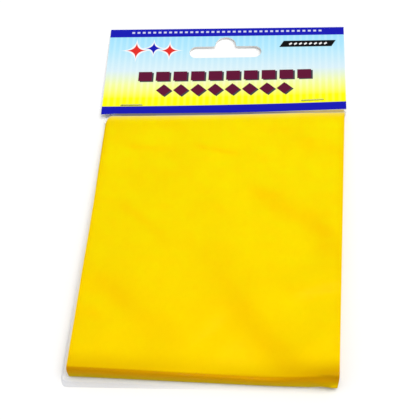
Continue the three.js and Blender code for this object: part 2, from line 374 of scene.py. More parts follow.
# Table, light and camera, with the table's size in metres
TABLE_SIZE = 6.0
TABLE_LINES = 13
TABLE_GLOW = 0.03
SKY_LEVEL = 0.5
SUN_LEVEL = 1.8
SUN_SPREAD = radians(55)
SUN_FROM = Vector((0.30, 0.06, 0.90))
CAMERA_PLACE = np.array([34.497, -240.090, 381.563])
CAMERA_AIM = np.array([-2.068, -8.339, 0.0])
CAMERA_ROLL = radians(-7.751)
CAMERA_LENS = 94.286
CAMERA_SENSOR = 36.0


# Grid helpers

def smooth(t):
    """Eased step: 0 below 0, 1 above 1, and 3t^2 - 2t^3 between."""
    t = np.clip(t, 0.0, 1.0)
    return t * t * (3.0 - 2.0 * t)


def shares(steps):
    """Column of even shares from 0 to 1."""
    return np.linspace(0, 1, steps + 1)[:, None]


def lines(edges, steps):
    """Grid lines from the first edge to the last, with a number of even steps from each edge to the next."""
    runs = [np.linspace(start, stop, count + 1) for start, stop, count in zip(edges, edges[1:], steps)]
    return np.concatenate([runs[0]] + [run[1:] for run in runs[1:]])


def strip_faces(index):
    """Quads between neighbouring rows and columns of a table of point numbers."""
    corners = [index[:-1, :-1], index[:-1, 1:], index[1:, 1:], index[1:, :-1]]
    return np.stack(corners, axis=-1).reshape(-1, 4)


def grid_faces(rows, columns, first=0, closed=False):
    """Quads between the points of a grid, row by row, with the last column joined to the first if closed."""
    index = first + np.arange(rows * columns).reshape(rows, columns)
    return strip_faces(np.hstack([index, index[:, :1]]) if closed else index)


def weld(points, faces, decimals=3):
    """Joins points whose rounded places are the same, so that surfaces which meet there become one.
    Gives the points, the faces and the numbers of the points that are kept."""
    rounded = np.round(points, decimals)
    first, number = np.unique(rounded, axis=0, return_index=True, return_inverse=True)[1:]
    return points[first], number.reshape(-1)[faces], first


def make_piece(name, points, faces, uv, materials):
    """A smooth mesh object with its place in its mesh, one UV pair for each point and its materials."""
    mesh = bpy.data.meshes.new(name)
    mesh.from_pydata((points * MM).tolist(), [], faces.tolist())
    layer = mesh.uv_layers.new(name="surface")
    layer.data.foreach_set("uv", uv[faces.reshape(-1)].astype(np.float32).reshape(-1))
    mesh.polygons.foreach_set("use_smooth", np.ones(len(faces), bool))
    for material in materials:
        mesh.materials.append(material)
    piece = bpy.data.objects.new(name, mesh)
    bpy.context.scene.collection.objects.link(piece)
    return piece


def mark_points(piece, name, values):
    """Stores one number for each point of the piece, under a name that its material reads."""
    mark = piece.data.attributes.new(name, "FLOAT", "POINT")
    mark.data.foreach_set("value", np.ravel(values).astype(np.float32))


def thicken(piece, thickness, second_material=0, sharp_angle=radians(40)):
    """Gives a sheet its thickness, half to each side, with sharp cut edges, and makes that its mesh.
    The inner side and the cut edges take the material second_material places further on."""
    solid = piece.modifiers.new("thickness", "SOLIDIFY")
    solid.thickness = thickness * MM
    solid.offset = 0.0
    solid.material_offset = second_material
    solid.material_offset_rim = second_material
    view = bpy.context.evaluated_depsgraph_get()
    mesh = bpy.data.meshes.new_from_object(piece.evaluated_get(view), depsgraph=view)
    piece.modifiers.clear()
    piece.data = mesh
    mesh.set_sharp_from_angle(angle=sharp_angle)


# Materials

def srgb(red, green, blue):
    """Linear colour of a screen colour given as 0 to 255."""
    screen = np.array([red, green, blue]) / 255
    linear = np.where(screen <= 0.04045, screen / 12.92, ((screen + 0.055) / 1.055) ** 2.4)
    return (*linear.tolist(), 1.0)


class Finish:
    """A material, with short calls that add its nodes and return their output sockets."""

    def __init__(self, name):
        self.material = bpy.data.materials.new(name)
        self.material.use_nodes = True
        self.tree = self.material.node_tree
        self.tree.nodes.clear()
        self.output = self.add("ShaderNodeOutputMaterial")

    def add(self, kind, inputs=None, **settings):
        """A node with its settings, and its inputs linked or set."""
        node = self.tree.nodes.new(kind)
        for key, value in settings.items():
            setattr(node, key, value)
        for key, value in (inputs or {}).items():
            if isinstance(value, bpy.types.NodeSocket):
                self.tree.links.new(value, node.inputs[key])
            else:
                node.inputs[key].default_value = value
        return node

    def math(self, operation, *values):
        """Result of one operation on numbers or sockets."""
        return self.add("ShaderNodeMath", dict(enumerate(values)), operation=operation).outputs[0]

    def rise(self, value, low, high, start=0.0, end=1.0):
        """start below low, end above high, and a straight ramp between."""
        inputs = {"Value": value, "From Min": low, "From Max": high, "To Min": start, "To Max": end}
        return self.add("ShaderNodeMapRange", inputs).outputs[0]

    def vary(self, noise, start, end, low=0.3, high=0.7):
        """Number that goes from start to end over the usual range of a noise, low to high."""
        return self.rise(noise, low, high, start, end)

    def mix(self, factor, below, above):
        """Colour that goes from below to above with the factor."""
        return self.add("ShaderNodeMix", {0: factor, 6: below, 7: above}, data_type="RGBA").outputs[2]

    def ramp(self, value, stops):
        """Colour that runs through stops, each (value, screen colour)."""
        node = self.add("ShaderNodeValToRGB", {0: value})
        while len(node.color_ramp.elements) < len(stops):
            node.color_ramp.elements.new(0.5)
        for element, (place, colour) in zip(node.color_ramp.elements, stops):
            element.position = place
            element.color = srgb(*colour)
        return node.outputs[0]

    def noise(self, place, scale, detail=2.0):
        """Cloudy noise, with its scale for one metre."""
        inputs = {"Vector": place, "Scale": scale, "Detail": detail}
        return self.add("ShaderNodeTexNoise", inputs).outputs[0]

    def bump(self, height, distance, strength):
        """Normal of a surface roughened by a height, of which 1 is a distance in metres."""
        inputs = {"Height": height, "Distance": distance, "Strength": strength}
        return self.add("ShaderNodeBump", inputs).outputs[0]

    def object_place(self):
        """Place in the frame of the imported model, in metres."""
        return self.add("ShaderNodeTexCoord").outputs["Object"]

    def scaled(self, place, scale):
        """Place with its coordinates scaled one by one, which stretches a pattern along the small ones."""
        return self.add("ShaderNodeMapping", {"Vector": place, "Scale": scale}).outputs[0]

    def surface_place(self):
        """The two coordinates of the piece's own UV map."""
        map_node = self.add("ShaderNodeUVMap", uv_map="surface")
        split = self.add("ShaderNodeSeparateXYZ", {0: map_node.outputs[0]})
        return split.outputs[0], split.outputs[1]

    def point_mark(self, name):
        """Number that is stored with the piece's points under a name."""
        return self.add("ShaderNodeAttribute", attribute_name=name).outputs["Fac"]

    def finish(self, shader):
        """The material, with this shader on its surface."""
        self.tree.links.new(shader.outputs[0], self.output.inputs["Surface"])
        return self.material


def print_marks(paint, across, down):
    """Masks of the card's printed marks, each (mask, colour), from the lowest to the uppermost.
    across is the distance from the card's middle and down the distance below its fold, in millimetres."""

    def less(value, amount):
        return paint.math("SUBTRACT", value, amount)

    def apart(value, middle):
        return paint.math("ABSOLUTE", less(value, middle))

    def both(mask, other):
        return paint.math("MULTIPLY", mask, other)

    def inside(distance):
        """1 where a signed distance is below zero, with an edge as soft as print."""
        return paint.rise(distance, -PRINT_EDGE, PRINT_EDGE, 1.0, 0.0)

    def box(x, y, width, height):
        """Distance outside a rectangle, where x and y are the distances from its middle."""
        return paint.math("MAXIMUM", less(x, width / 2), less(y, height / 2))

    def diamond(x, y, reach):
        """Distance outside a diamond, where the distances from its middle add up to its reach."""
        return less(paint.math("ADD", x, y), reach)

    def row(value, middle, count, pitch):
        """Mask of a whole row of marks, and the distance from the middle of the nearest mark in it."""
        limits = inside(less(apart(value, middle), count * pitch / 2))
        return limits, apart(paint.math("FLOORED_MODULO", value, pitch), pitch / 2)

    def squares(x, y):
        limits, nearest = row(x, 0.0, SQUARE_COUNT, SQUARE_PITCH)
        upright = inside(less(nearest, SQUARE_WIDTH / 2))
        level = inside(less(apart(y, SQUARE_LEVEL), SQUARE_HEIGHT / 2))
        return both(limits, both(upright, level))

    def diamonds(x, y):
        limits, nearest = row(x, 0.0, DIAMOND_COUNT, DIAMOND_PITCH)
        return both(limits, inside(diamond(nearest, apart(y, DIAMOND_LEVEL), DIAMOND_REACH)))

    def star(middle, level, reach):
        """Four-pointed star: the roots of the two distances add up to less than the root of its reach."""
        roots = [paint.math("SQRT", apart(across, middle)), paint.math("SQRT", apart(down, level))]
        total = paint.math("ADD", *roots)
        return paint.rise(total, reach ** 0.5 - STAR_EDGE, reach ** 0.5 + STAR_EDGE, 1.0, 0.0)

    blue = srgb(22, 24, 178)
    pale_blue = srgb(214, 216, 240)
    maroon = srgb(96, 18, 52)
    shadow = srgb(66, 66, 74)
    white = srgb(250, 250, 250)
    black = srgb(4, 4, 6)
    red = srgb(226, 48, 40)

    marks = []
    shifted = (less(across, MARK_SHADOW_ACROSS), less(down, MARK_SHADOW_DOWN))
    for place, colour in ((shifted, shadow), ((across, down), maroon)):
        marks.append((squares(*place), colour))
        marks.append((diamonds(*place), colour))
    for (middle, level, reach), colour in zip(STARS, (red, blue, red)):
        marks.append((star(middle, level, reach * STAR_OUTLINE), white))
        marks.append((star(middle, level, reach), colour))

    slanted = paint.math("ADD", across, paint.math("MULTIPLY", down, LABEL_SLANT))
    from_label = apart(down, LABEL_LEVEL)
    label = box(apart(slanted, LABEL_MIDDLE), from_label, LABEL_LENGTH, LABEL_HEIGHT)
    marks.append((inside(label), black))
    limits, nearest = row(slanted, LABEL_DOT_MIDDLE, LABEL_DOT_COUNT, LABEL_DOT_PITCH)
    marks.append((both(limits, inside(diamond(nearest, from_label, LABEL_DOT_REACH))), white))

    marks.append((inside(less(down, TOP_BAND)), blue))
    marks.append((inside(less(CARD_HEIGHT - LOWER_BAND, down)), blue))
    limits, nearest = row(across, 0.0, BAND_DOT_COUNT, BAND_DOT_PITCH)
    dots = box(nearest, apart(down, BAND_DOT_LEVEL), BAND_DOT_WIDTH, BAND_DOT_HEIGHT)
    marks.append((both(limits, inside(dots)), pale_blue))
    return marks


def printed_card(blank_length, front_length):
    """Gloss card, printed on the front: sky blue that fades through pale to yellow over upright ribs,
    with blue bands, plain marks, a fine grain and a plain white back."""
    paint = Finish("printed_card")
    across_share, along_share = paint.surface_place()
    across = paint.math("MULTIPLY_ADD", across_share, CARD_WIDTH, -CARD_WIDTH / 2)
    along = paint.math("MULTIPLY", along_share, blank_length)
    down = paint.math("SUBTRACT", CARD_HEIGHT, along)
    level = paint.math("DIVIDE", down, CARD_HEIGHT)
    rib = paint.math("COSINE", paint.math("MULTIPLY", across, 2 * pi / RIB_PITCH))
    on_rib = paint.rise(rib, RIB_START, 1.0, 0.0, RIB_STRENGTH)
    colour = paint.mix(on_rib, paint.ramp(level, GROUND_BETWEEN_RIBS), paint.ramp(level, GROUND_ON_RIBS))
    for mask, ink in print_marks(paint, across, down):
        colour = paint.mix(mask, colour, ink)
    on_back = paint.rise(along, front_length, front_length + PRINT_END)
    place = paint.object_place()
    shader = paint.add("ShaderNodeBsdfPrincipled", {
        "Base Color": paint.mix(on_back, colour, srgb(244, 244, 242)),
        "Roughness": paint.vary(paint.noise(place, scale=120.0), 0.34, 0.46),
        "Specular IOR Level": 0.05,
        "Normal": paint.bump(paint.noise(place, scale=900.0, detail=3.0), distance=0.00002, strength=0.4),
    })
    return paint.finish(shader)


def plain_board():
    """White card stock on the inside of the card and at its cut edges, with paper fibres."""
    paint = Finish("plain_board")
    fibres = paint.noise(paint.object_place(), scale=1500.0, detail=4.0)
    shader = paint.add("ShaderNodeBsdfPrincipled", {
        "Base Color": paint.mix(fibres, srgb(246, 245, 242), srgb(253, 253, 251)),
        "Roughness": 0.8,
        "Normal": paint.bump(fibres, distance=0.00004, strength=0.5),
    })
    return paint.finish(shader)


def staple_steel():
    """Drawn steel wire with fine marks and a slightly dull skin, tinted yellow-olive as painted reflection of the
    yellow card and foil round it.
    """
    paint = Finish("staple_wire")
    marks = paint.noise(paint.object_place(), scale=2500.0, detail=3.0)
    shader = paint.add("ShaderNodeBsdfPrincipled", {
        # Yellow-olive tint: painted reflection of the yellow card and foil
        "Base Color": paint.mix(marks, srgb(150, 150, 84), srgb(200, 198, 120)),
        "Metallic": 1.0,
        "Roughness": paint.vary(marks, 0.26, 0.42),
        "Normal": paint.bump(marks, distance=0.00001, strength=0.4),
    })
    return paint.finish(shader)


def gold_foil():
    """Satin yellow gold foil: flat bright yellow, with painted shade that deepens it on wrinkle slopes facing away
    from the light and towards the fold, deeper at the sides, amber painted shade round the fold with a painted
    highlight on the lip of its right corner, faint cloudy streaks, a very fine crinkle and a soft metallic sheen."""
    paint = Finish("gold_foil")
    across, along = paint.surface_place()
    from_side = paint.math("ABSOLUTE", paint.math("SUBTRACT", across, 0.5))
    from_fold = paint.math("ABSOLUTE", paint.math("SUBTRACT", along, 0.5))
    place = paint.object_place()
    upright = paint.noise(paint.scaled(place, (1.0, FOIL_STREAK_STRETCH, 1.0)), scale=520.0, detail=3.0)
    level = paint.noise(paint.scaled(place, (FOIL_STREAK_STRETCH, 1.0, 1.0)), scale=520.0, detail=3.0)
    clouds = paint.noise(place, scale=60.0, detail=4.0)
    crinkle = paint.noise(place, scale=420.0, detail=4.0)
    # Tone: random clouds and streaks, plus painted shade from the wrinkles' slope away from the light
    tone = paint.math("MULTIPLY_ADD", clouds, FOIL_CLOUDS, paint.point_mark("wrinkle_shade"))
    tone = paint.math("MULTIPLY_ADD", paint.math("ADD", upright, level), FOIL_STREAKS, tone)
    colour = paint.mix(paint.rise(tone, FOIL_BRIGHT, FOIL_DEEP), srgb(237, 218, 0), srgb(235, 191, 0))
    # Painted shade: the yellow deepens towards the fold
    near_fold = paint.rise(from_fold, FOIL_FOLD_SHARE, FOIL_FOLD_SHADE_REACH, FOIL_FOLD_SHADE, 0.0)
    colour = paint.mix(near_fold, colour, srgb(234, 190, 0))
    near_side = paint.rise(from_side, 0.5 - FOIL_SIDE_SHARE, 0.5, 0.0, FOIL_SIDE_TONE)
    colour = paint.mix(near_side, colour, srgb(231, 187, 0))
    # Amber painted shade round the fold: orange-brown at its top, olive towards its bottom
    fold_shade_stops = [(0.15, (188, 132, 0)), (0.35, (207, 149, 0)), (0.75, (195, 174, 0))]
    past_fold = paint.rise(along, 0.5 - FOIL_FOLD_SHARE, 0.5 + FOIL_FOLD_SHARE)
    painted_fold_shade = paint.ramp(past_fold, fold_shade_stops)
    shader = paint.add("ShaderNodeBsdfPrincipled", {
        "Base Color": paint.mix(paint.point_mark("amber"), colour, painted_fold_shade),
        "Metallic": 0.3,
        "Roughness": paint.vary(crinkle, 0.48, 0.6),
        "Specular IOR Level": 0.04,
        "Specular Tint": srgb(255, 214, 40),
        "Normal": paint.bump(crinkle, distance=0.00004, strength=0.35),
    })
    return paint.finish(shader)


def clear_film():
    """Clear packaging film: see-through with a thin gloss that grows at a glancing angle, and a milky colour,
    grey, brown or pale, where its points are marked for it: mostly painted shadow, and a pale painted highlight
    over the foil's edge."""
    paint = Finish("clear_film")
    ripple = paint.bump(paint.noise(paint.object_place(), scale=160.0), distance=0.00004, strength=0.25)
    # Milk colours: pale painted highlight, grey-blue and brown-grey painted shadow, pale yellow at the neck's
    # right end
    tones = [(0.0, (248, 248, 244)), (0.4, (138, 148, 172)), (0.7, (122, 117, 112)), (1.0, (234, 214, 136))]
    milk = paint.add("ShaderNodeBsdfDiffuse", {"Color": paint.ramp(paint.point_mark("shade"), tones)})
    clear = paint.add("ShaderNodeBsdfTransparent")
    gloss = paint.add("ShaderNodeBsdfGlossy", {"Roughness": 0.08, "Normal": ripple})
    facing = paint.add("ShaderNodeLayerWeight", {"Blend": 0.5, "Normal": ripple}).outputs["Facing"]
    glancing = paint.math("POWER", facing, FILM_GLOSS_POWER)
    sheen = paint.rise(glancing, 0.0, 1.0, FILM_GLOSS_FACE_ON, FILM_GLOSS_GLANCING)
    body_inputs = {0: paint.point_mark("milk"), 1: clear.outputs[0], 2: milk.outputs[0]}
    body = paint.add("ShaderNodeMixShader", body_inputs)
    shader = paint.add("ShaderNodeMixShader", {0: sheen, 1: body.outputs[0], 2: gloss.outputs[0]})
    return paint.finish(shader)


def white_table():
    """Plain white table top. To the camera, in gloss and through film it is a little brighter than its light
    makes it."""
    paint = Finish("white_table")
    rays = paint.add("ShaderNodeLightPath").outputs
    seen = paint.math("MAXIMUM", rays["Is Camera Ray"], rays["Is Glossy Ray"])
    seen = paint.math("MAXIMUM", seen, rays["Is Transmission Ray"])
    shader = paint.add("ShaderNodeBsdfPrincipled", {
        "Base Color": (0.98, 0.98, 0.98, 1.0),
        "Roughness": 0.9,
        "Specular IOR Level": 0.0,
        "Emission Color": (1.0, 1.0, 1.0, 1.0),
        "Emission Strength": paint.math("MULTIPLY", seen, TABLE_GLOW),
    })
    paint.material.cycles.emission_sampling = "NONE"
    return paint.finish(shader)


# Header card

def card_warp(x, y):
    """Height that the card's lower edge gains over the flat card, fading to none at its fold:
    a twist that lifts the right end and a bow that lets the middle sink."""
    side = 2 * x / CARD_WIDTH
    lift = CARD_LIFT + CARD_TWIST * side - CARD_BOW * (1 - side * side)
    return lift * np.clip(1 - y / CARD_TOP, 0.0, 1.0)


def card_gape(y):
    """Distance that each panel opens out from the flat fold, to make room for the film below the slot."""
    return CARD_GAPE * (1 - smooth(y / (SLOT_BASE - CARD_EDGE)))


def card_point(x, y, z):
    """A point given across, up and out of the card from the hinge line, set on the leaning card,
    whose fold runs down a little towards the right."""
    out = z + card_warp(x, y)
    up = y - CARD_TAPER * np.clip(y / CARD_TOP, 0.0, 1.0) * (0.5 + x / CARD_WIDTH)
    rise, run = -CARD_NORMAL[1], CARD_NORMAL[2]
    along = HINGE[1] + up * run - out * rise
    height = HINGE[2] + up * rise + out * run
    return np.stack([CARD_CENTRE + x, along, height], axis=-1)


def slot_outline(steps=400):
    """Right half of the slot's outline as a dense line from the top of its hump to the middle of its
    lower side, with the distance along it: hump arc, small corner arc, lobe top, lobe end, lower side.
    The last value is that distance at the line's joints, and a quarter in from each end of the lobe end."""
    hump = SLOT_HUMP_WIDTH / 2
    shoulder = SLOT_LOBE_HEIGHT + SLOT_CORNER
    lobe = SLOT_LOBE_HEIGHT / 2
    end_centre = SLOT_WIDTH / 2 - lobe
    half_turn = np.linspace(0, 1, steps) * pi
    quarter_turn = half_turn / 2
    hump_up = shoulder + (SLOT_HEIGHT - shoulder) * np.cos(quarter_turn)
    hump_arc = np.stack([hump * np.sin(quarter_turn), hump_up], axis=-1)
    corner_across = hump + SLOT_CORNER * (1 - np.cos(quarter_turn))
    corner_arc = np.stack([corner_across, shoulder - SLOT_CORNER * np.sin(quarter_turn)], axis=-1)
    lobe_end = np.stack([end_centre + lobe * np.sin(half_turn), lobe + lobe * np.cos(half_turn)], axis=-1)
    path = np.concatenate([hump_arc, corner_arc, lobe_end, [[0.0, 0.0]]])
    pieces = np.linalg.norm(np.diff(path, axis=0), axis=1)
    length = np.concatenate([[0.0], np.cumsum(pieces)])
    end_first, end_last, quarter = 2 * steps, 3 * steps - 1, steps // 4
    joints = [0, steps - 1, end_first - 1, end_first, end_first + quarter, end_last + 1 - quarter, end_last,
              end_last + 1]
    return path, length, length[joints]


def slot_match(frame_x, frame_y):
    """Point of the slot's outline for each point of the frame round it, side by side and corner by corner:
    the distance round half the frame is taken to the distance along half the outline, joint by joint."""
    half = SLOT_FRAME_WIDTH / 2
    height = SLOT_FRAME_HIGH - SLOT_FRAME_LOW
    from_middle = np.abs(frame_x)
    around = np.where(frame_y >= SLOT_FRAME_HIGH, from_middle, half + SLOT_FRAME_HIGH - frame_y)
    # Rounding leaves the back panel's lower frame line a hair above SLOT_FRAME_LOW. Its points then all meet
    # the slot low on the lobe's end, and that slot's lower side lies a little higher than the front's.
    around = np.where(frame_y <= SLOT_FRAME_LOW, 2 * half + height - from_middle, around)
    stations = [0.0, SLOT_HUMP_MEETS, SLOT_CORNER_MEETS, half - SLOT_LOBE_MEETS, half, half + height,
                half + height + SLOT_LOBE_MEETS, 2 * half + height]
    path, length, joints = slot_outline()
    along = np.interp(around, stations, joints)
    slot_x = np.sign(frame_x) * np.interp(along, length, path[:, 0])
    slot_y = SLOT_BASE + np.interp(along, length, path[:, 1])
    return np.stack([slot_x, slot_y], axis=-1)


def frame_ring(number, columns, level, low, high):
    """Point numbers once round the frame of lines about a slot, from its lower left corner to the right."""
    first, last = np.flatnonzero(np.isclose(np.abs(columns), SLOT_FRAME_WIDTH / 2))
    bottom, top = (int(np.argmin(np.abs(level - edge))) for edge in (low, high))
    step = 1 if top > bottom else -1
    side = np.arange(bottom, top + step, step)
    base = np.arange(first, last + 1)
    return np.concatenate([number[bottom, base], number[side[1:], last], number[top, base[::-1][1:]],
                           number[side[::-1][1:-1], first]])


def card_blank():
    """Flat card blank with its two die-cut slots, as points (across, along), faces, and the lengths of a
    panel and of the blank. The blank is a grid of lines. Inside a frame of grid lines round each slot, rings
    of points run from the frame to the slot's outline."""
    half = CARD_WIDTH / 2
    frame_half = SLOT_FRAME_WIDTH / 2
    panel = CARD_HEIGHT - CARD_FOLD_RADIUS
    blank = 2 * panel + pi * CARD_FOLD_RADIUS
    low, high = SLOT_FRAME_LOW - CARD_EDGE, SLOT_FRAME_HIGH - CARD_EDGE
    columns = lines((-half, -frame_half, frame_half, half), CARD_STEPS_ACROSS)
    front = lines((0.0, low, high, panel), CARD_STEPS_UP)
    fold = np.linspace(panel, blank - panel, CARD_FOLD_STEPS + 1)
    rows = np.concatenate([front, fold[1:-1], blank - front[::-1]])
    across, along = np.meshgrid(columns, rows)
    number = np.arange(across.size).reshape(across.shape)
    centre_x, centre_y = np.meshgrid((columns[1:] + columns[:-1]) / 2, (rows[1:] + rows[:-1]) / 2)
    panel_y = np.where(centre_y < blank / 2, centre_y, blank - centre_y)
    solid = ~((np.abs(centre_x) < frame_half) & (panel_y > low) & (panel_y < high))
    points = [np.stack([across.ravel(), along.ravel()], axis=-1)]
    faces = [strip_faces(number)[solid.ravel()]]
    count = across.size
    share = shares(SLOT_RINGS)[1:, :, None] ** SLOT_RING_SPREAD
    for back in (False, True):
        level = blank - rows if back else rows
        ring = frame_ring(number, columns, level, low, high)
        outer = np.stack([across.ravel()[ring], level[ring // len(columns)] + CARD_EDGE], axis=-1)
        rings = outer + (slot_match(outer[:, 0], outer[:, 1]) - outer) * share
        rings[..., 1] -= CARD_EDGE
        if back:
            rings[..., 1] = blank - rings[..., 1]
        added = rings.shape[0] * rings.shape[1]
        table = np.vstack([ring, count + np.arange(added).reshape(rings.shape[:2])])
        table = np.hstack([table, table[:, :1]])
        faces.append(strip_faces(table[:, ::-1] if back else table))
        points.append(rings.reshape(-1, 2))
        count += added
    return np.concatenate(points), np.concatenate(faces), panel, blank


def header_card():
    """The blank folded over: flat up the front panel, half a turn about the fold, and down the back panel."""
    flat, faces, panel, blank = card_blank()
    across, along = flat[:, 0], flat[:, 1]
    turn = np.clip((along - panel) / CARD_FOLD_RADIUS, 0.0, pi)
    level = np.minimum(np.minimum(along, blank - along), panel)
    short = CARD_BACK_SHORT * (1 - smooth(level / CARD_BACK_SHORT_LENGTH))
    level = np.where(along > blank / 2, level + short, level)
    up = CARD_EDGE + level + CARD_FOLD_RADIUS * np.sin(turn)
    points = card_point(across, up, (CARD_FOLD_RADIUS + card_gape(up)) * np.cos(turn))
    uv = np.stack([across / CARD_WIDTH + 0.5, along / blank], axis=-1)
    front = panel + pi * CARD_FOLD_RADIUS * PRINT_OVER_FOLD
    card = make_piece("header_card_print", points, faces, uv, [printed_card(blank, front), plain_board()])
    thicken(card, CARD_THICKNESS, 1)
    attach(card, "header")
    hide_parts("header_card")


# Staples

def bent_path(corners, radius, steps=7):
    """A path through straight runs, with a curve of the bend radius in place of each inner corner."""
    path = [corners[:1]]
    share = np.linspace(0, 1, steps)[:, None]
    for before, corner, after in zip(corners, corners[1:], corners[2:]):
        start = corner + (before - corner) / np.linalg.norm(before - corner) * radius
        stop = corner + (after - corner) / np.linalg.norm(after - corner) * radius
        path.append((1 - share) ** 2 * start + 2 * share * (1 - share) * corner + share ** 2 * stop)
    path.append(corners[-1:])
    return np.concatenate(path)


def staple(name, middle, level, slant, steel, sides=12):
    """Round wire carried along a flat path of clinched end, leg, crown, leg and clinched end: circles square
    to the path, drawn in at both tips and closed there."""
    wire = WIRE_DIAMETER / 2
    front = CARD_FOLD_RADIUS + card_gape(level) + CARD_THICKNESS / 2 + wire + STAPLE_CLEARANCE
    half = STAPLE_CROWN / 2 - wire
    left = [[STAPLE_CLINCH - half, -front], [-half, -front], [-half, front]]
    right = [[half, front], [half, -front], [half - STAPLE_CLINCH, -front]]
    path = bent_path(np.array(left + right), STAPLE_BEND)
    along = np.gradient(path, axis=0)
    along /= np.linalg.norm(along, axis=1, keepdims=True)
    normal = np.stack([-along[:, 1], along[:, 0]], axis=-1)
    path = np.concatenate([path[:1], path, path[-1:]])
    normal = np.concatenate([normal[:1], normal, normal[-1:]])
    radius = np.full((len(path), 1), wire)
    radius[[0, -1]] = WIRE_TIP_RADIUS
    turn = np.linspace(0, 2 * pi, sides, endpoint=False)
    run = path[:, :1] + radius * np.cos(turn) * normal[:, :1]
    out = path[:, 1:] + radius * np.cos(turn) * normal[:, 1:]
    wide = radius * np.sin(turn)
    across = middle + run * np.cos(slant) - wide * np.sin(slant)
    up = CARD_EDGE + level + run * np.sin(slant) + wide * np.cos(slant)
    points = card_point(across, up, out).reshape(-1, 3)
    ring = np.arange(sides // 2 - 1)
    tip = np.stack([ring, ring + 1, sides - 2 - ring, sides - 1 - ring], axis=-1)
    other_tip = tip[:, ::-1] + (len(path) - 1) * sides
    faces = np.concatenate([grid_faces(len(path), sides, closed=True)[:, ::-1], tip, other_tip])
    around, lengthwise = np.meshgrid(turn / (2 * pi), np.linspace(0, 1, len(path)))
    uv = np.stack([lengthwise, around], axis=-1).reshape(-1, 2)
    piece = make_piece(name + "_wire", points, faces, uv, [steel])
    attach(piece, "header")
    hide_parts(name)


# Stack of foil and the shape that it shares with the film

def pack_point(x, y, z):
    """A point of the straight pack set into the leaning one. Rows slide sideways in proportion to their
    distance from the hinge, and turn little by little until the fold lies square to the sides.
    Past the fold the bag's tail turns most of the way back."""
    tail_start = FOLD_FRONT - FILM_FOLD_ROOM
    tail = np.clip((y - tail_start) / (FILM_TAIL_END - tail_start), 0.0, 1.0)
    turned = np.clip(y / FOLD_FRONT, 0.0, 1.0) * (1 - tail * (1 - FILM_TAIL_LEAN))
    across = CARD_CENTRE + PACK_SHIFT + x + y * PACK_LEAN
    along = HINGE[1] + y - x * PACK_LEAN * turned
    return np.stack([across, along, z + np.zeros_like(x + y)], axis=-1)


def stack_top(y):
    """Height of the outermost sheet's upper leg before it is warped: a straight rise to the fold."""
    edge = STACK_BASE + 2 * len(SHEET_NODES) * STACK_EDGE_PITCH
    share = np.clip((y - SHEET_EDGE) / (FOLD_CREASE - SHEET_EDGE), 0.0, 1.0)
    return edge + (FOLD_HEIGHT - edge) * share


def fold_softness(x):
    """0 along the crisp part of the fold, rising to 1 at its swollen right corner."""
    return smooth((x - FOLD_SWELL) / FOLD_SWELL_LENGTH)


def fold_slope(x):
    """1 at the fold's left corner, falling to 0 at its dip."""
    return np.clip((FOLD_DIP - x) / (FOLD_DIP + SHEET_WIDTH / 2), 0.0, 1.0)


def creases(x, y):
    """Sum of soft creases. Each is a step along a bent line, higher on the line's upper right, and eases
    out away from the line and at the line's ends."""
    total = np.zeros_like(x)
    for places, width, height in CREASES:
        places = np.array(places)
        reach = places[-1] - places[0]
        length = np.linalg.norm(reach)
        heading = reach / length
        aside_heading = np.array([-heading[1], heading[0]])
        along = (x - places[0, 0]) * heading[0] + (y - places[0, 1]) * heading[1]
        aside = (x - places[0, 0]) * aside_heading[0] + (y - places[0, 1]) * aside_heading[1]
        middle = np.interp(along, (places - places[0]) @ heading, (places - places[0]) @ aside_heading)
        step = (aside - middle) / width
        end = CREASE_END * length
        ends = smooth(along / end) * smooth((length - along) / end)
        total += height * ends * np.tanh(step) * np.exp(-(step / CREASE_REACH) ** 2)
    return total


def waves(x, y, count, longest, shortest, height, seed):
    """Sum of sine waves of falling length in all directions, each as high as its length allows."""
    chance = np.random.default_rng(seed)
    total = np.zeros_like(x)
    for length in np.geomspace(longest, shortest, count):
        heading, phase = chance.uniform(0, 2 * pi, 2)
        along = x * np.cos(heading) + y * np.sin(heading)
        total += height * length / longest * np.sin(2 * pi / length * along + phase)
    return total


def wrinkles(x, y):
    """Height of the creases and of two sets of waves, long and short."""
    return creases(x, y) + waves(x, y, **LONG_WAVES) + waves(x, y, **SHORT_WAVES)


def painted_wrinkle_shade(points):
    """How steeply the wrinkles rise towards the light's side, taken over one millimetre: painted shade that
    deepens the foil's yellow on slopes facing away from the light.
    """
    x, y = points[..., 0], points[..., 1]
    run, rise = 0.5 * WRINKLE_LIGHT
    return wrinkles(x + run, y + rise) - wrinkles(x - run, y - rise)


def warp_up(points, local_x, local_y):
    """Raises or lowers the pack by the fold's own height, the creases and the waves. Every point moves in
    proportion to its height over the table, so that the layers keep their order."""
    slope, soft = fold_slope(local_x), fold_softness(local_x)
    fold = FOLD_LEFT_RISE * slope - FOLD_DIP_SINK * (1 - slope) + FOLD_RIGHT_RISE * soft
    near_fold = np.exp(-np.clip(local_y - FOLD_FRONT, 0.0, None) / FOLD_REACH_BACK)
    off_edge = smooth((SHEET_EDGE - local_y) / WRINKLE_EDGE_FADE)
    off_fold = smooth((local_y - FOLD_FRONT) / WRINKLE_FOLD_FADE)
    change = fold * near_fold + wrinkles(points[..., 0], points[..., 1]) * (off_edge * off_fold)
    points[..., 2] *= 1 + change / stack_top(local_y)
    return points


def right_lip(x):
    """0 along the fold, rising to 1 at the small lip of its right corner."""
    return smooth((x - LIP_START) / LIP_LENGTH)


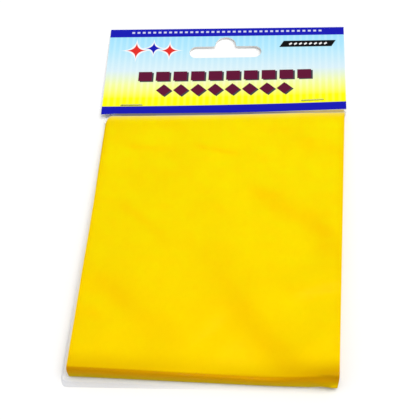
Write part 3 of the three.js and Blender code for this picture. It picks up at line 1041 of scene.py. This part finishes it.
def fold_curve(x, turn, depth, low, high):
    """Fold's section at each x: half of a rounded box, |cos|^(2/n) deep and |sin|^(2/n) high, whose corner
    power n falls where the fold is soft, and which leans back towards its top. Sine ridges crumple the right
    corner, and a lip stands out at the bottom of it."""
    soft = fold_softness(x)
    power = 2 / (FOLD_SQUARENESS - FOLD_SQUARENESS_LOSS * soft)
    back = FOLD_SLANT + FOLD_LEFT_SLANT * fold_slope(x) + FOLD_RIGHT_SLANT * soft
    height = (1 + np.sign(np.sin(turn)) * np.abs(np.sin(turn)) ** power) / 2
    reach = np.abs(np.cos(turn)) ** power
    in_crumple = smooth((x - CRUMPLE_START) / CRUMPLE_LENGTH) * smooth(height / CRUMPLE_FOOT)
    ridges = in_crumple * np.sin(CRUMPLE_TURN_UP * height + CRUMPLE_TURN_ALONG * x)
    lip = right_lip(x) * (1 - smooth(height / LIP_HEIGHT))
    crumple = CRUMPLE_DEPTH * ridges - LIP_DEPTH * lip
    y = FOLD_CREASE + (back * height * height + crumple - depth) * reach
    return y, low + (high - low) * height


def sheet_edge(x):
    """Free edge of the sheets: nearly along the card's edge, a little bowed, with its left corner rounded."""
    into = np.clip(SHEET_CORNER - SHEET_WIDTH / 2 - x, 0.0, SHEET_CORNER)
    edge = np.minimum(SHEET_EDGE + SHEET_EDGE_SLOPE * x + SHEET_EDGE_BOW * x * x, SHEET_EDGE_LIMIT)
    return edge - (SHEET_CORNER - np.sqrt(SHEET_CORNER ** 2 - into ** 2))


def amber_fold_shade(x, past_fold):
    """How far painted shade turns the foil amber at a distance past the middle of its fold: wholly on the fold's
    face, with a crisp end that lies a little higher at the left, and a wide fading one behind it, which is faint
    along the middle and stronger at both ends. At the right corner a small lip at the bottom is left bright as a
    painted highlight."""
    from_fold = np.abs(past_fold)
    end = AMBER_END + AMBER_LEFT_RISE * smooth((fold_slope(x) - AMBER_RISE_START) / AMBER_RISE_LENGTH)
    crisp = 1 - smooth((from_fold - end) / AMBER_EDGE)
    loss = AMBER_BEHIND_LOSS * smooth((x - AMBER_LOSS_START) / AMBER_LOSS_LENGTH)
    behind = AMBER_BEHIND - loss + AMBER_BEHIND_GAIN * fold_softness(x)
    wide = behind * (1 - smooth((from_fold - AMBER_END) / AMBER_FADE))
    lip = right_lip(x) * np.exp(-((past_fold - LIP_HIGHLIGHT_PLACE) / LIP_HIGHLIGHT_WIDTH) ** 2)
    return np.maximum(crisp, wide) * (1 - lip)


def foil_sheet(node, layer, foil, columns, upper_rows, fold_rows, lower_rows):
    """One sheet as a surface across x and along its own length: upper leg, fold and lower leg.
    Each layer lies one pitch inside the one before it, and the lower ones stand out a little to the left.
    Only the uppermost leg reaches the neck. The others end short of it, clear of the card when it folds."""
    x = np.linspace(-SHEET_WIDTH / 2, SHEET_WIDTH / 2, columns)[None, :]
    lower_edge = np.minimum(sheet_edge(x), SHEET_TUCK)
    upper_edge = sheet_edge(x) if layer == 0 else lower_edge
    upper_share, lower_share = shares(upper_rows - 1), shares(lower_rows - 1)
    inset = layer * STACK_FOLD_PITCH
    low, high = STACK_BASE + inset, FOLD_HEIGHT - inset
    edge_low = STACK_BASE + layer * STACK_EDGE_PITCH
    edge_high = STACK_BASE + (2 * len(SHEET_NODES) - layer) * STACK_EDGE_PITCH
    upper_y = upper_edge + (FOLD_CREASE - upper_edge) * upper_share
    upper_z = edge_high + (high - edge_high) * upper_share + 0 * x
    turn = np.linspace(pi / 2, -pi / 2, fold_rows + 2)[1:-1, None]
    fold_y, fold_z = fold_curve(x, turn, FOLD_DEPTH - inset, low, high)
    lower_y = FOLD_CREASE + (lower_edge - FOLD_CREASE) * lower_share
    lower_z = low + (edge_low - low) * lower_share + 0 * x
    local_y = np.concatenate([upper_y, fold_y, lower_y])
    local_z = np.concatenate([upper_z, fold_z, lower_z])

    fold_lowness = (high - fold_z) / (high - low)
    lower_lowness = np.exp((FOLD_CREASE - lower_y) / FOLD_END_FADE)
    lowness = np.concatenate([0 * upper_y, fold_lowness, lower_lowness])
    left_end = 1 - smooth((SHEET_WIDTH / 2 + x) / FOLD_END_ROUND)
    right_end = 1 - smooth((SHEET_WIDTH / 2 - x) / FOLD_END_ROUND)
    drawn_in = (FOLD_LEFT_INSET * left_end - FOLD_RIGHT_INSET * right_end) * lowness ** FOLD_END_POWER
    above = local_z / stack_top(local_y)
    shear = STACK_SHEAR * (1 - above) * smooth((local_y - FOLD_CREASE) / STACK_SHEAR_LENGTH)
    local_x = x + drawn_in - shear
    points = warp_up(pack_point(local_x, local_y, local_z), local_x, local_y)

    run = np.linalg.norm(np.diff(points, axis=0), axis=-1)
    length = np.concatenate([np.zeros((1, columns)), np.cumsum(run, axis=0)])
    middle_row = upper_rows + fold_rows // 2
    middle = (length[middle_row] + length[middle_row - 1]) / 2
    uv = np.stack([x / SHEET_WIDTH + 0.5 + 0 * length, length / length[-1]], axis=-1)
    faces = grid_faces(*local_x.shape)[:, ::-1]
    sheet = make_piece(node + "_folded", points.reshape(-1, 3), faces, uv.reshape(-1, 2), [foil])
    # Painted shade: the wrinkles' slope away from the light, which deepens the foil's yellow
    mark_points(sheet, "wrinkle_shade", painted_wrinkle_shade(points))
    # Share of the amber painted shade round the fold, less at the lip's painted highlight
    mark_points(sheet, "amber", amber_fold_shade(x, length - middle))
    thicken(sheet, SHEET_THICKNESS)
    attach(sheet, "foil_bundle")
    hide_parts(node)


# Clear film bag

def uneven_wave(along, rate, bend, bend_rate):
    """Sine wave between 0 and 1, whose crests a slower wave shifts to and fro."""
    return 0.5 + 0.5 * np.sin(along * rate + bend * np.sin(along * bend_rate))


def film_ripple(x, y):
    """Small outward puckers of the film, strongest near its mouth and its two long seams."""
    near_mouth = np.exp(-np.abs(y) / PUCKER_REACH)
    near_seam = smooth((np.abs(x) - SHEET_WIDTH / 2 + RIPPLE_REACH) / RIPPLE_REACH)
    puckers = PUCKER_HEIGHT * near_mouth * uneven_wave(x, **PUCKER_WAVE)
    return puckers + RIPPLE_HEIGHT * near_seam * uneven_wave(y, **RIPPLE_WAVE)


def film_columns():
    """Places x across the bag, and how far each lies over the stack: 1 there, easing to 0 at the seams."""
    left_core = SHEET_WIDTH / 2 + STACK_SHEAR + FILM_SIDE_ROOM
    right_core = SHEET_WIDTH / 2 + FILM_SIDE_ROOM
    left_seam = FILM_LEFT - FILM_LEFT_SEAM
    right_seam = FILM_RIGHT - FILM_RIGHT_SEAM
    edges = (-FILM_LEFT, -left_seam, -left_core, right_core, right_seam, FILM_RIGHT)
    x = lines(edges, FILM_STEPS_ACROSS)[None, :]
    past_left = (-left_core - x) / (left_seam - left_core)
    past_right = (x - right_core) / (right_seam - right_core)
    return x, 1 - smooth(np.maximum(past_left, past_right))


def share_across(x):
    """Share of the bag's width, from its left side, at which each x lies."""
    return (x + FILM_LEFT) / (FILM_LEFT + FILM_RIGHT)


def foil_edge(x):
    """Free edge of the sheets under any part of the film, carried on level past their sides."""
    return sheet_edge(np.clip(x, -SHEET_WIDTH / 2, SHEET_WIDTH / 2))


def film_leg(x):
    """Rows y of the bag along the stack, from the neck to a brim over the foil's edge, then to the fold."""
    brim = foil_edge(x) - FILM_BRIM
    brim_y = FILM_NECK_END + (brim - FILM_NECK_END) * shares(FILM_BRIM_STEPS)
    return np.concatenate([brim_y, brim + (FOLD_CREASE - brim) * shares(FILM_LEG_STEPS)[1:]])


def film_end(x):
    """Lower end of the bag, with quarter-round corners."""
    from_side = np.minimum(x + FILM_LEFT, FILM_RIGHT - x)
    into_corner = np.clip(FILM_CORNER - from_side, 0.0, FILM_CORNER)
    return FILM_TAIL_END + FILM_CORNER - np.sqrt(FILM_CORNER ** 2 - into_corner ** 2)


def film_front(x, leg_y):
    """Rows (y, z) of the bag's front over the stack: along its upper leg with puckers, round the fold's face,
    and down in a steep curve to the flat tail."""
    leg_z = stack_top(leg_y) + FILM_OVER_STACK + film_ripple(x, leg_y)
    turn = np.linspace(pi / 2, FILM_FOLD_STOP, FILM_FOLD_STEPS + 1)[1:, None]
    top = FOLD_HEIGHT + FILM_OVER_STACK
    fold_y, fold_z = fold_curve(x, turn, FOLD_DEPTH + FILM_FOLD_ROOM, FILM_UNDER_STACK, top)
    tail = shares(FILM_TAIL_STEPS)[1:]
    tail_y = fold_y[-1:] + (film_end(x) - fold_y[-1:]) * tail ** FILM_TAIL_SPREAD
    tail_z = FILM_TAIL_HEIGHT + (fold_z[-1:] - FILM_TAIL_HEIGHT) * (1 - tail) ** FILM_TAIL_DROP
    return np.concatenate([leg_y, fold_y, tail_y]), np.concatenate([leg_z, fold_z, tail_z])


def film_back(x, leg_y):
    """Rows (y, z) of the bag's flat back, and the height at which its front and back meet in the seams, which
    rises towards the neck. Both ease to the tail's height past the fold."""
    past_leg = shares(FILM_FOLD_STEPS + FILM_TAIL_STEPS)[1:]
    y = np.concatenate([leg_y, FOLD_CREASE + (film_end(x) - FOLD_CREASE) * past_leg])
    tail_share = np.concatenate([np.zeros((len(leg_y), 1)), smooth(past_leg)])
    z = FILM_UNDER_STACK + (FILM_TAIL_HEIGHT - FILM_UNDER_STACK) * tail_share + 0 * x
    seam_rise = FILM_SEAM_RISE * (1 - smooth(-y / FILM_SEAM_RISE_LENGTH))
    seam_z = (FILM_SEAM_HEIGHT + seam_rise) * (1 - tail_share) + FILM_TAIL_HEIGHT * tail_share
    return y, z, seam_z


def film_sides(x, over, leg_y):
    """Points of the bag's front and back, from the mouth's top to the tail's end, and the back's rows y.
    Away from the stack both ease to the seams' height, where they stay a hair apart, and they meet only at
    the side edges, the mouth's top and the tail's end. The neck is eased between the mouth and the pack."""
    front_y, front_z = film_front(x, leg_y)
    back_y, back_z, seam_z = film_back(x, leg_y)
    front_y = back_y + (front_y - back_y) * over
    apart = FILM_SEAM_GAP * np.ones_like(back_y)
    apart[:, [0, -1]] = 0.0
    mouth_y = np.linspace(FILM_MOUTH_TOP, CARD_EDGE, FILM_MOUTH_ROWS)[:, None] + 0 * x
    mouth_x = FILM_MOUTH_HALF_WIDTH * (2 * share_across(x) - 1) + 0 * mouth_y
    mouth_open = smooth((FILM_MOUTH_TOP - mouth_y) / FILM_MOUTH_EASE)
    mouth_gap = (FILM_MOUTH_GAP * over + apart[:1]) * mouth_open
    apart[-1] = 0.0

    def skin(side, y, z):
        """Front (side 1) or back (side -1) of the bag."""
        mouth = card_point(mouth_x, mouth_y, side * mouth_gap)
        local_x = x + 0 * y
        height = seam_z + (z - seam_z) * over + side * apart
        pack = warp_up(pack_point(local_x, y, height), local_x, y)
        neck_share = shares(FILM_NECK_ROWS + 1)[1:-1, :, None]
        drop = pack[:1] - mouth[-1:]
        neck = mouth[-1:] + drop * neck_share
        neck[..., 2] = mouth[-1:, :, 2] + drop[..., 2] * smooth(neck_share[..., 0])
        return np.concatenate([mouth, neck, pack])

    return skin(1, front_y, front_z), skin(-1, back_y, back_z), back_y


def in_foil_gap(x, leg_y):
    """1 in the gap between the card and the foil's free edge, where the film carries the card's painted shadow,
    easing to 0 on the foil.
    """
    return smooth((leg_y - foil_edge(x) + GAP_OVERLAP) / GAP_FADE)


def film_milk_and_painted_light(x, over, leg_y, back_y):
    """Milk at each row and place across: the card's painted shadow, strong in the neck and the gap below it, less
    so at the left corner; a painted highlight dying out over the foil's edge; and faint milk with painted shadow
    along the left of the tail and down the left seam."""
    mouth = np.zeros((FILM_MOUTH_ROWS - 1, x.size))
    # The card's painted shadow in the neck and the gap below it, less at the left corner
    in_corner = smooth((CORNER_CLEAR_END - x) / CORNER_CLEAR_FADE)
    neck = np.repeat(NECK_SHADOW_MILK * over * (1 - CORNER_CLEAR * in_corner), FILM_NECK_ROWS + 1, axis=0)
    past_edge = leg_y - foil_edge(x)
    # Painted highlight over the foil's free edge
    brim_highlight = np.where(past_edge < 0, BRIM_HIGHLIGHT_MILK * np.exp(np.minimum(past_edge, 0.0) / BRIM_HIGHLIGHT_FADE), 0.0)
    in_gap = NECK_SHADOW_MILK * in_foil_gap(x, leg_y) * (1 - in_corner)
    leg = np.maximum(brim_highlight, in_gap) * over
    fold = np.zeros((FILM_FOLD_STEPS, x.size))
    # Faint milk with painted shadow along the left of the tail and down the left seam
    at_left = 1 - smooth((x - TAIL_SHADOW_START) / TAIL_SHADOW_LENGTH)
    tail = TAIL_MILK_AND_SHADOW * smooth(shares(FILM_TAIL_STEPS)[1:] / TAIL_SHADOW_RISE) * at_left
    into_seam = np.clip((FILM_LEFT_SEAM - FILM_LEFT - x) / FILM_LEFT_SEAM, 0.0, 1.0)
    seam = SEAM_MILK_AND_SHADOW * np.interp(into_seam, SEAM_SHADOW_PLACES, SEAM_SHADOW_SHARES)
    seam = seam * smooth((SEAM_SHADOW_START - back_y) / SEAM_SHADOW_LENGTH)
    pack = np.maximum(np.concatenate([leg, fold, tail]), seam)
    return np.concatenate([mouth, neck, pack])


def film_shade(x, leg_y, back_y):
    """Shade at each row and place across: brown for the card's painted shadow in the neck, paler to its right
    end and greyer at its left end, and grey for the painted shadow down the pack."""
    mouth = np.zeros((FILM_MOUTH_ROWS - 1, x.size))
    right_gain = RIGHT_SHADE_GAIN * smooth((x - RIGHT_SHADE_START) / RIGHT_SHADE_LENGTH)
    left_gain = (1 - LEFT_SHADE_SHARE) * smooth((x - LEFT_SHADE_END) / LEFT_SHADE_FADE)
    shade = (NECK_SHADE + right_gain) * (LEFT_SHADE_SHARE + left_gain)
    neck = np.repeat(shade, FILM_NECK_ROWS + 1, axis=0)
    pack = np.where(back_y < PACK_SHADE_START, PACK_SHADE, 0.0)
    below_neck = smooth((leg_y + NECK_SHADE_DEPTH) / NECK_SHADE_FADE)
    pack[:len(leg_y)] += in_foil_gap(x, leg_y) * below_neck * shade
    return np.concatenate([mouth, neck, pack])


def bag_film(film):
    """The bag as one closed skin. A front and a back surface, each across x and along the pack, run from the
    mouth inside the card through the neck, along the stack and over the fold to the tail, and are welded at
    the side edges, the mouth's top and the tail's end."""
    x, over = film_columns()
    leg_y = film_leg(x)
    front, back, back_y = film_sides(x, over, leg_y)
    rows, columns = front.shape[:2]
    points = np.concatenate([front.reshape(-1, 3), back.reshape(-1, 3)])
    faces = np.concatenate([grid_faces(rows, columns)[:, ::-1], grid_faces(rows, columns, rows * columns)])
    across, along = np.meshgrid(share_across(x), np.linspace(0, 1, rows))
    uv = np.tile(np.stack([across, along], axis=-1).reshape(-1, 2), (2, 1))
    points, faces, kept = weld(points, faces)
    bag = make_piece("bag_film", points, faces, uv[kept], [film])
    # Milk and its colour: the card's painted shadow, a painted highlight, and painted shadow along tail and seam
    mark_points(bag, "milk", np.tile(film_milk_and_painted_light(x, over, leg_y, back_y).ravel(), 2)[kept])
    mark_points(bag, "shade", np.tile(film_shade(x, leg_y, back_y).ravel(), 2)[kept])
    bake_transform(bag)
    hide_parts("bag_mouth", "bag_pouch")


# Table, light and camera

def table():
    """Flat white table top under the pack."""
    half = TABLE_SIZE / MM / 2
    places = np.linspace(-half, half, TABLE_LINES)
    across, along = np.meshgrid(places, places)
    points = np.stack([across.ravel(), along.ravel(), np.zeros(across.size)], axis=-1)
    uv = points[:, :2] / (2 * half) + 0.5
    make_piece("table", points, grid_faces(TABLE_LINES, TABLE_LINES), uv, [white_table()])


def light():
    """Even pale sky, plain white to the camera, in gloss and through film, and one wide soft lamp from above,
    a little from the right."""
    world = bpy.data.worlds.new("studio")
    world.use_nodes = True
    nodes, links = world.node_tree.nodes, world.node_tree.links
    rays = nodes.new("ShaderNodeLightPath").outputs
    seen = rays["Is Camera Ray"]
    for kind in ("Is Glossy Ray", "Is Transmission Ray"):
        either = nodes.new("ShaderNodeMath")
        either.operation = "MAXIMUM"
        links.new(seen, either.inputs[0])
        links.new(rays[kind], either.inputs[1])
        seen = either.outputs[0]
    level = nodes.new("ShaderNodeMapRange")
    level.inputs["To Min"].default_value = SKY_LEVEL
    links.new(seen, level.inputs["Value"])
    nodes["Background"].inputs["Color"].default_value = (1.0, 1.0, 1.0, 1.0)
    links.new(level.outputs[0], nodes["Background"].inputs["Strength"])
    bpy.context.scene.world = world
    lamp = bpy.data.lights.new("window", "SUN")
    lamp.energy = SUN_LEVEL
    lamp.angle = SUN_SPREAD
    holder = bpy.data.objects.new("window", lamp)
    holder.rotation_euler = SUN_FROM.to_track_quat("Z", "Y").to_euler()
    bpy.context.scene.collection.objects.link(holder)


def camera():
    """Camera at the photograph's place, aimed at the pack and rolled a little."""
    lens = bpy.data.cameras.new("camera")
    lens.lens = CAMERA_LENS
    lens.sensor_width = CAMERA_SENSOR
    holder = bpy.data.objects.new("camera", lens)
    aim = Vector((CAMERA_AIM - CAMERA_PLACE).tolist()).to_track_quat("-Z", "Y").to_matrix().to_4x4()
    roll = Euler((0.0, 0.0, CAMERA_ROLL)).to_matrix().to_4x4()
    holder.matrix_world = aim @ roll
    holder.location = Vector((CAMERA_PLACE * MM).tolist())
    bpy.context.scene.collection.objects.link(holder)
    bpy.context.scene.camera = holder


# The scene

bpy.context.scene.view_settings.view_transform = "Standard"
header_card()
steel = staple_steel()
for staple_name, (staple_middle, staple_level, staple_slant) in STAPLES.items():
    staple(staple_name, staple_middle, staple_level, staple_slant, steel)
foil = gold_foil()
for sheet_layer, sheet_node in enumerate(SHEET_NODES):
    sheet_grid = OUTER_SHEET_GRID if sheet_layer == 0 else INNER_SHEET_GRID
    foil_sheet(sheet_node, sheet_layer, foil, **sheet_grid)
bag_film(clear_film())
table()
light()
camera()
